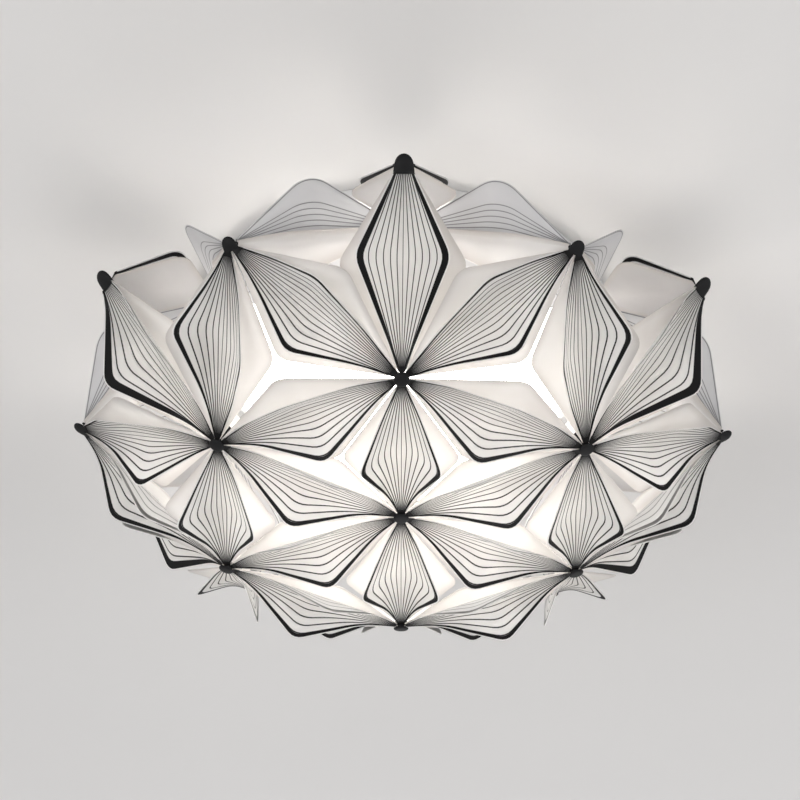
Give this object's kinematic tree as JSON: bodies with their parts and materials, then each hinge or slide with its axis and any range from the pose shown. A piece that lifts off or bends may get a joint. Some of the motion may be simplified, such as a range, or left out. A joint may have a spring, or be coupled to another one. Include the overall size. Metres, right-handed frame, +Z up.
{
  "type": "flush mount ceiling light",
  "caption": "Flush ceiling light: paired leaf-shaped petals, line-printed outside and white inside, form a faceted round shade held by magnets under a ceiling pan with LEDs and an opal bowl.",
  "frame": {"origin": "centre of the pan's face against the ceiling", "axes": "+Z up into the ceiling, -Y towards the corner of the shade that is seen first"},
  "size_m": [0.6544, 0.6762, 0.2673],
  "materials": {
    "printed_sheet": "translucent sheet printed with fine dark lines and a dark edge",
    "white_sheet": "translucent satin white sheet",
    "hub_plastic": "satin black",
    "white_paint": "satin white powder coat",
    "magnet_plating": "nickel plated",
    "grommet_rubber": "matte",
    "spacer_metal": "turned",
    "board_white": "white solder mask",
    "led_lens": "yellow phosphor under a clear lens",
    "driver_case": "fine grain",
    "terminal_plastic": "satin",
    "screw_steel": "zinc plated",
    "post_brass": "plain",
    "lead_red": "smooth",
    "wire_brown": "smooth",
    "wire_blue": "smooth",
    "wire_green": "smooth",
    "opal_plastic": "opal diffuser"
  },
  "bodies": {
    "base": {"ceiling_pan": "white_paint", "cable_grommet": "grommet_rubber", "led_tray": "white_paint", "tray_spacers": "spacer_metal", "led_board": "board_white", "leds": "led_lens", "board_plug": "terminal_plastic", "led_driver": "driver_case", "led_leads": "lead_red", "terminal_block": "terminal_plastic", "terminal_screws": "screw_steel", "earth_post": "post_brass", "earth_screw": "post_brass", "live_wire": "wire_brown", "neutral_wire": "wire_blue", "earth_wire": "wire_green", "opal_bowl": "opal_plastic", "bowl_clips": "screw_steel"},
    "shade": {"printed_petals_bottom": "printed_sheet", "printed_petals_ring": "printed_sheet", "printed_petals_slope": "printed_sheet", "printed_petals_rim": "printed_sheet", "printed_petals_upper": "printed_sheet", "printed_petals_eave": "printed_sheet", "white_petals_bottom": "white_sheet", "white_petals_ring": "white_sheet", "white_petals_slope": "white_sheet", "white_petals_rim": "white_sheet", "white_petals_upper": "white_sheet", "white_petals_eave": "white_sheet", "bottom_hub": "hub_plastic", "bottom_cap": "hub_plastic", "ring_hubs": "hub_plastic", "ring_caps": "hub_plastic", "side_hubs": "hub_plastic", "side_caps": "hub_plastic", "corner_hubs": "hub_plastic", "corner_caps": "hub_plastic", "top_hubs": "hub_plastic", "top_caps": "hub_plastic", "frame_ring": "white_paint", "magnet_brackets": "white_paint", "holding_magnets": "magnet_plating"}
  },
  "joints": [
    {"name": "shade_drop", "type": "slide", "parent": "base", "child": "shade", "axis": [0, 0, -1], "range_m": [0, 0.2]}
  ]
}
